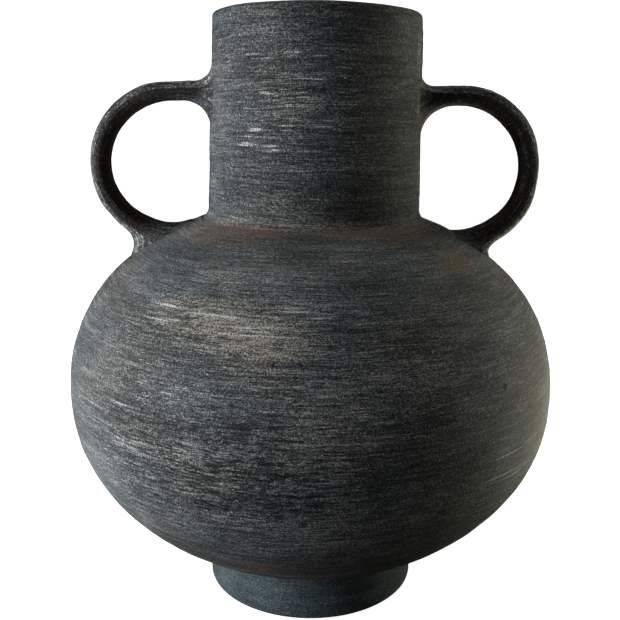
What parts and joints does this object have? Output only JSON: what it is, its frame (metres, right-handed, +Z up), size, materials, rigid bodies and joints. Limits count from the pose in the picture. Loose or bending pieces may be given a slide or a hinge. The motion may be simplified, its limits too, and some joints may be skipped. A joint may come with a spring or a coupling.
{
  "type": "two-handled clay jar",
  "caption": "Round-bellied black clay jar on a foot ring, with a straight wide neck and a pair of looped strap handles from neck to shoulder.",
  "frame": {"origin": "centre of the foot ring's resting face, which is the centre of the box's bottom", "axes": "+Z up along the pot's axis; the handles lie along X, the left one on -X and the right one on +X; -Y is the front"},
  "size_m": [0.269, 0.269, 0.32],
  "materials": {
    "burnished_clay": "matte",
    "foot_clay": "matte",
    "handle_clay": "matte",
    "raw_clay": "matte"
  },
  "bodies": {
    "root": {"foot_ring": "foot_clay", "foot_seam_coil": "raw_clay", "floor_slab": "raw_clay", "lower_bowl": "burnished_clay", "belly_seam_coil": "raw_clay", "upper_bowl": "burnished_clay", "neck_seam_coil": "raw_clay", "neck": "burnished_clay", "rim_coil": "burnished_clay", "left_handle": "handle_clay", "right_handle": "handle_clay", "left_upper_root": "handle_clay", "left_lower_root": "handle_clay", "right_upper_root": "handle_clay", "right_lower_root": "handle_clay"}
  },
  "joints": []
}
